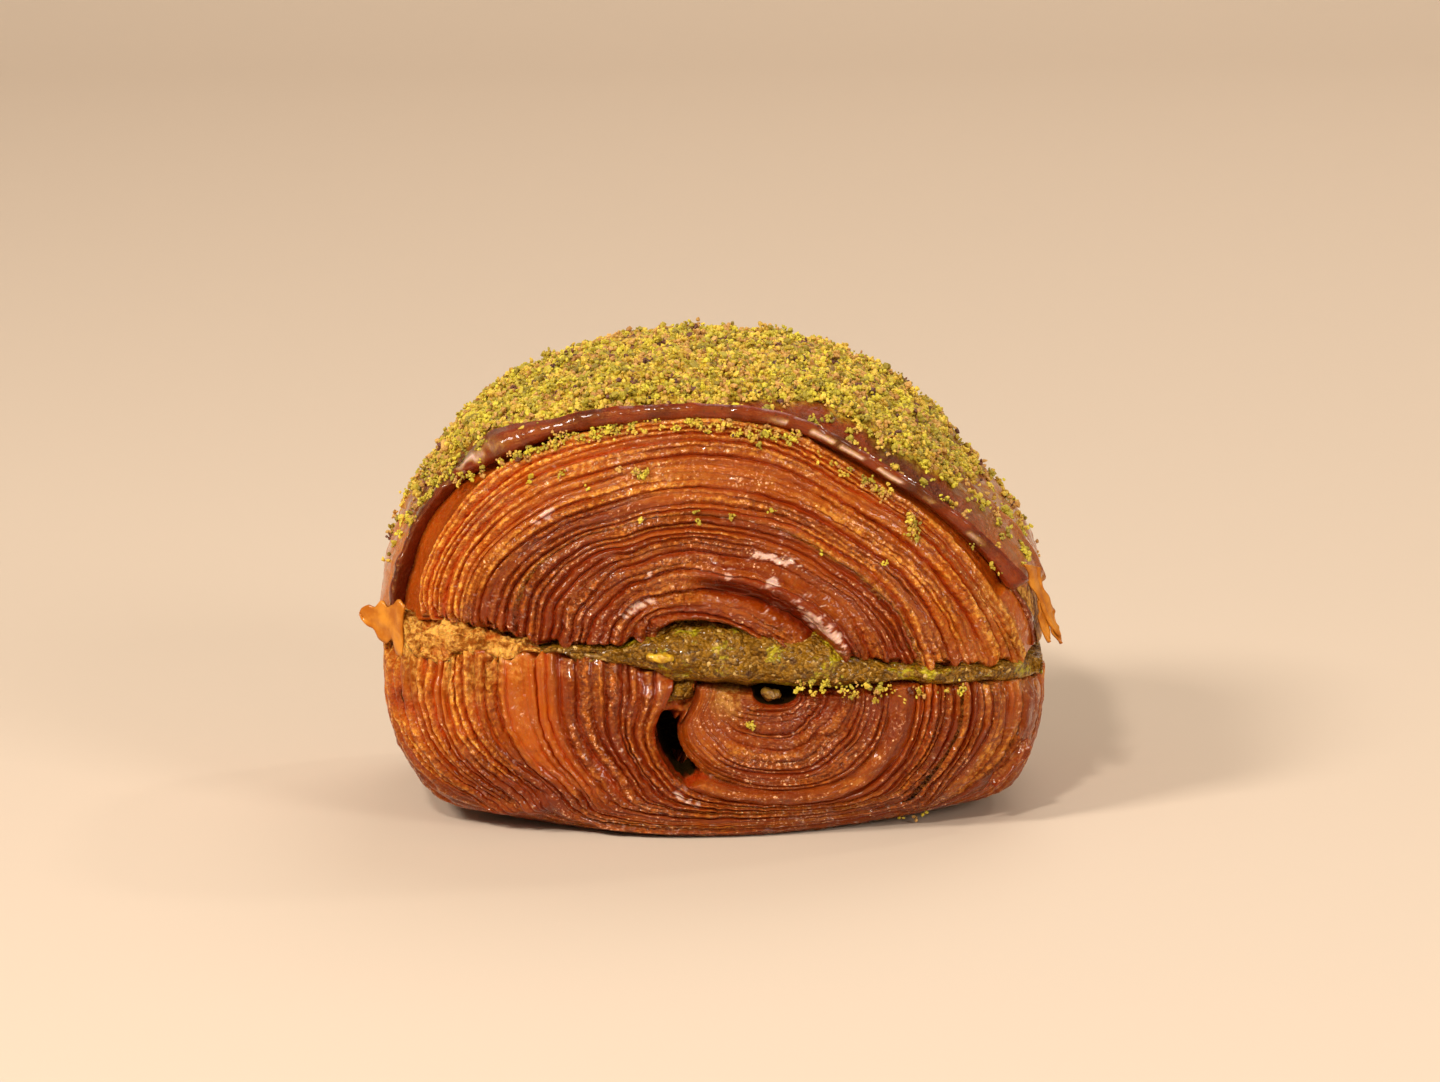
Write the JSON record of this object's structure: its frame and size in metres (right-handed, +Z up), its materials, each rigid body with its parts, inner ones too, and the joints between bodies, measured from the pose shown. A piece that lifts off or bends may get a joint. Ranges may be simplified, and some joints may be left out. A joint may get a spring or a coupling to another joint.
{
  "type": "pistachio pain au chocolat",
  "caption": "Sliced pain au chocolat of rolled laminated dough, filled with pistachio cream and topped with nibs.",
  "frame": {"origin": "middle of the flat underside, halfway along the roll", "axes": "+Z up, +Y along the roll's axis towards the back, +X across the roll towards the open end of the cut"},
  "size_m": [0.0988, 0.0695, 0.0679],
  "materials": {
    "crust": "baked dough with a syrup glaze, golden to deep brown",
    "pistachio_cream": "glossy paste with chopped nuts",
    "chopped_pistachio": "dry, finely chopped nuts, yellow-green with bits of tan and purple skin"
  },
  "bodies": {
    "root": {"pastry": "crust", "pistachio_cream": "pistachio_cream"}
  },
  "joints": []
}
